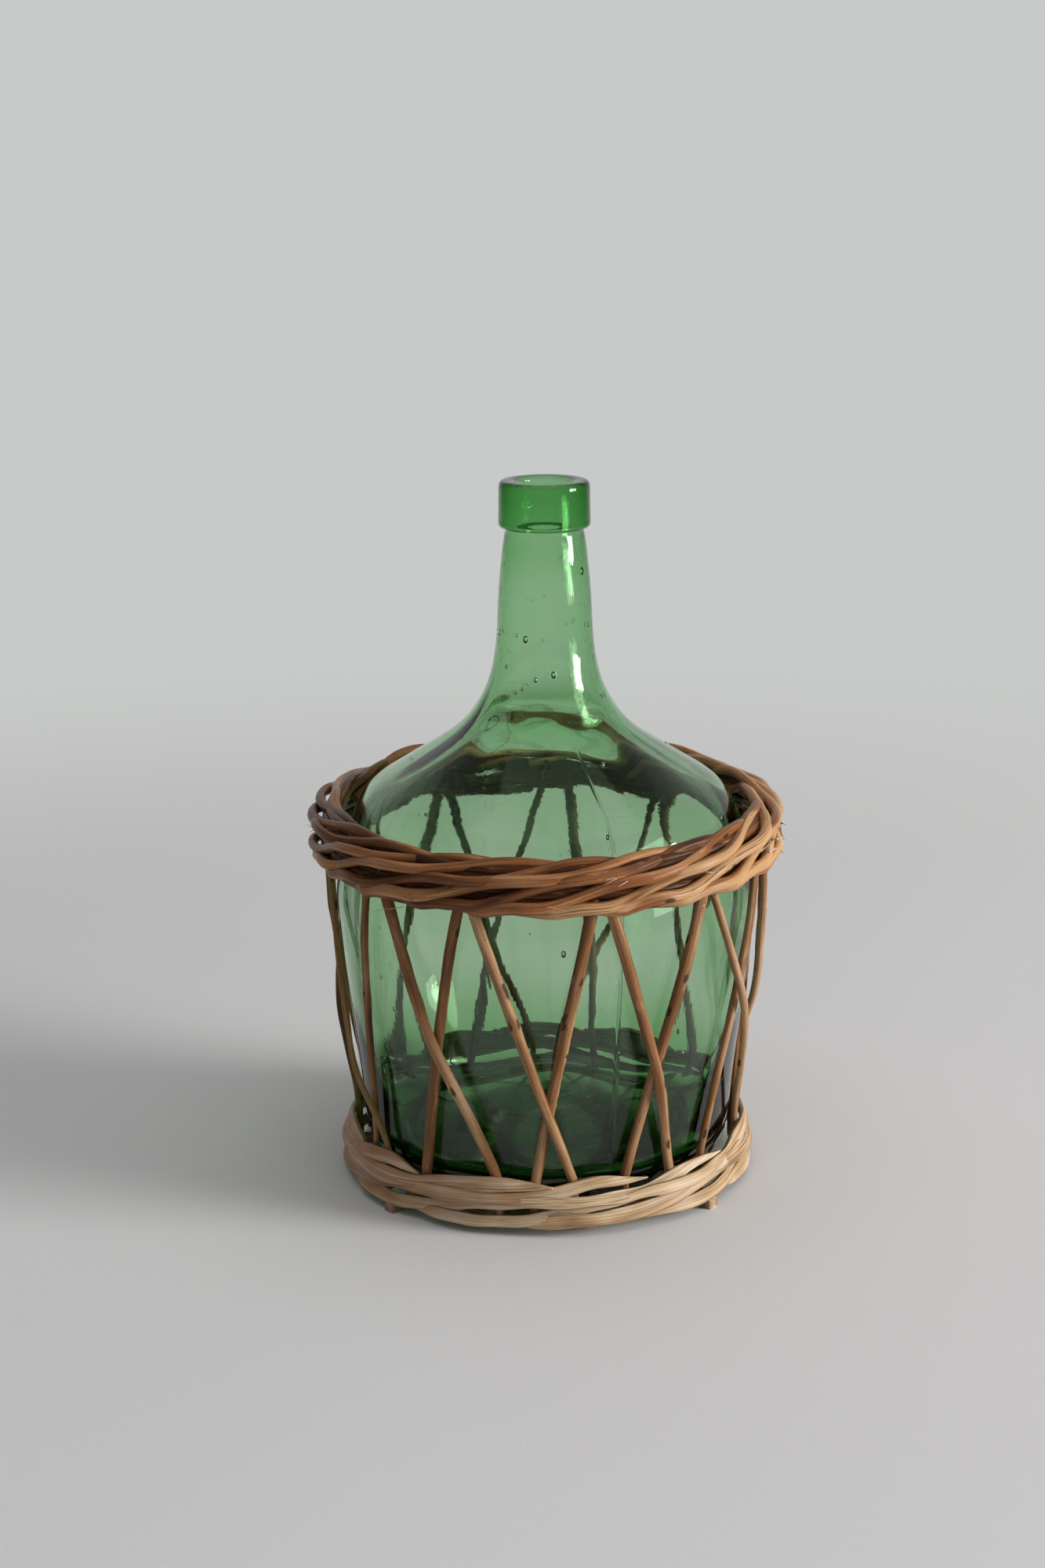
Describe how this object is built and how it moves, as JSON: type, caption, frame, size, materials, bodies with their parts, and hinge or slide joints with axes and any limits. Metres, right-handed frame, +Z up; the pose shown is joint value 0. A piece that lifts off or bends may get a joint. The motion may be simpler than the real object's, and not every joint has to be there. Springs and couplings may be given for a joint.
{
  "type": "wicker demijohn",
  "caption": "Squat green glass demijohn with a long neck and thick lip, held captive in an open willow basket of crossed stakes with a rolled rim and a flat split foot band.",
  "frame": {"origin": "middle of the foot, on the plane that the basket stands on", "axes": "+Z up along the bottle's axis, -Y toward the pictured front, +X to the right of that front"},
  "size_m": [0.2242, 0.2242, 0.335],
  "materials": {
    "green_glass": "clear blown glass, pale green in the wall and deep green in the lip",
    "rim_willow": "unpeeled willow, red brown, satin",
    "stake_willow": "unpeeled willow, brown, satin",
    "split_willow": "split willow, pale tan, fibrous",
    "base_willow": "split willow, tan, matt"
  },
  "bodies": {
    "basket": {"rim_rod_01": "rim_willow", "rim_rod_02": "rim_willow", "rim_rod_03": "rim_willow", "rim_rod_04": "rim_willow", "rim_rod_05": "rim_willow", "rim_rod_06": "rim_willow", "rim_rod_07": "rim_willow", "rim_rod_08": "rim_willow", "rim_rod_09": "rim_willow", "rim_rod_10": "rim_willow", "rim_rod_11": "rim_willow", "stake_right_01": "stake_willow", "stake_right_02": "stake_willow", "stake_right_03": "stake_willow", "stake_right_04": "stake_willow", "stake_right_05": "stake_willow", "stake_right_06": "stake_willow", "stake_right_07": "stake_willow", "stake_right_08": "stake_willow", "stake_right_09": "stake_willow", "stake_right_10": "stake_willow", "stake_right_11": "stake_willow", "stake_left_01": "stake_willow", "stake_left_02": "stake_willow", "stake_left_03": "stake_willow", "stake_left_04": "stake_willow", "stake_left_05": "stake_willow", "stake_left_06": "stake_willow", "stake_left_07": "stake_willow", "stake_left_08": "stake_willow", "stake_left_09": "stake_willow", "stake_left_10": "stake_willow", "stake_left_11": "stake_willow", "base_split_01": "split_willow", "base_split_02": "split_willow", "base_split_03": "split_willow", "base_split_04": "split_willow", "base_split_05": "split_willow", "base_split_06": "split_willow", "base_split_07": "split_willow", "base_split_08": "split_willow", "base_split_09": "split_willow", "base_split_10": "split_willow", "base_split_11": "split_willow", "base_stick_upper_01": "base_willow", "base_stick_upper_02": "base_willow", "base_stick_upper_03": "base_willow", "base_stick_lower_01": "base_willow", "base_stick_lower_02": "base_willow", "base_stick_lower_03": "base_willow", "base_weaver_01": "base_willow", "base_weaver_02": "base_willow", "base_weaver_03": "base_willow"},
    "bottle": {"glass_bottle": "green_glass"}
  },
  "joints": [
    {"name": "bottle_turn", "type": "hinge", "parent": "basket", "child": "bottle", "pos_m": [0, 0, 0.0081], "axis": [0, 0, 1], "continuous": true}
  ]
}
